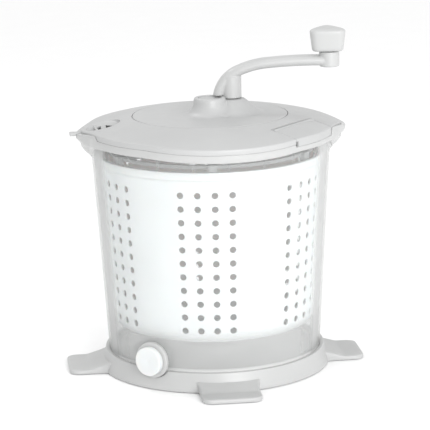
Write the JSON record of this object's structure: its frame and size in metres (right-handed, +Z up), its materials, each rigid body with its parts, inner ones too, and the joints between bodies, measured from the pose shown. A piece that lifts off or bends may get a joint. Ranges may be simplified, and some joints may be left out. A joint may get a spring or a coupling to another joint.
{
  "type": "salad spinner",
  "caption": "Hand-cranked salad spinner: clear tub on a four-footed ring, perforated basket on a pivot, eared lid with gearing, swan-neck crank, hinged flap and drain cap.",
  "frame": {"origin": "on the table, on the tub's axis, in the middle of the four feet", "axes": "+Z up; the lid's ears lie along X, with the hook's ear at -X; the pouring flap is towards +X and -Y; the drain is at the front left, towards -X and -Y"},
  "size_m": [0.369, 0.369, 0.4167],
  "materials": {
    "clear_plastic": "clear, glossy",
    "white_basket": "glossy moulded",
    "lid_plastic": "satin-gloss moulded",
    "ring_plastic": "satin-gloss moulded",
    "crank_plastic": "satin-gloss moulded",
    "knob_plastic": "satin",
    "cap_plastic": "glossy",
    "gear_plastic": "self-lubricating plastic",
    "steel": "turned",
    "seal_rubber": "soft"
  },
  "bodies": {
    "stand": {"tub": "clear_plastic", "base_ring": "ring_plastic", "foot_pads": "seal_rubber", "pivot_pin": "steel", "drain_collar": "ring_plastic", "drain_washer": "seal_rubber", "drain_nut": "cap_plastic"},
    "cap_seal": {"cap_seal": "seal_rubber"},
    "drain_cap": {"drain_cap": "cap_plastic"},
    "pivot_cup": {"pivot_cup": "gear_plastic"},
    "basket": {"basket": "white_basket"},
    "lid": {"lid": "lid_plastic", "lid_seal": "seal_rubber", "gear_cover": "lid_plastic", "gear_case": "lid_plastic", "case_screws": "steel", "spindle_bush_lower": "gear_plastic", "spindle_bush_upper": "gear_plastic", "crank_bush_lower": "gear_plastic", "crank_bush_upper": "gear_plastic", "hub_cap": "lid_plastic", "flap_pin": "steel"},
    "pour_flap": {"pour_flap": "lid_plastic"},
    "crank": {"crank_arm": "crank_plastic", "crank_shaft": "steel", "crank_gear": "gear_plastic", "crank_clip": "steel", "knob_pin": "steel"},
    "knob": {"knob": "knob_plastic"},
    "drive": {"spindle": "steel", "pinion": "gear_plastic", "spindle_clip": "steel", "drive_plate": "lid_plastic", "drive_nut": "steel"}
  },
  "joints": [
    {"name": "lid_lift", "type": "slide", "parent": "stand", "child": "lid", "axis": [0, 0, 1], "range_m": [0, 0.5]},
    {"name": "crank_turn", "type": "hinge", "parent": "lid", "child": "crank", "pos_m": [0.02835, 0.00982, 0.34], "axis": [0, 0, 1], "continuous": true},
    {"name": "knob_spin", "type": "hinge", "parent": "crank", "child": "knob", "pos_m": [0.14807, -0.00382, 0.4], "axis": [0, 0, 1], "continuous": true},
    {"name": "drive_spin", "type": "hinge", "parent": "lid", "child": "drive", "pos_m": [0, 0, 0.3], "axis": [0, 0, 1], "continuous": true},
    {"name": "flap_hinge", "type": "hinge", "parent": "lid", "child": "pour_flap", "pos_m": [0.08755, -0.0761, 0.3057], "axis": [-0.6561, -0.7547, 0], "range_deg": [0, 80]},
    {"name": "basket_lift", "type": "slide", "parent": "stand", "child": "pivot_cup", "axis": [0, 0, 1], "range_m": [0, 0.25]},
    {"name": "basket_spin", "type": "hinge", "parent": "pivot_cup", "child": "basket", "pos_m": [0, 0, 0.058], "axis": [0, 0, 1], "continuous": true},
    {"name": "cap_travel", "type": "slide", "parent": "stand", "child": "cap_seal", "axis": [-0.6293, -0.7771, 0], "range_m": [0, 0.012]},
    {"name": "cap_turn", "type": "hinge", "parent": "cap_seal", "child": "drain_cap", "pos_m": [-0.09188, -0.11346, 0.0368], "axis": [-0.6293, -0.7771, 0], "range_deg": [0, 1080]}
  ],
  "couplings": [
    {"joint": "drive_spin", "follows": "crank_turn", "ratio": -3},
    {"joint": "basket_spin", "follows": "crank_turn", "ratio": -3},
    {"joint": "basket_lift", "follows": "lid_lift", "ratio": 0.5},
    {"joint": "cap_travel", "follows": "cap_turn", "m_per_rad": 0.00063662}
  ]
}
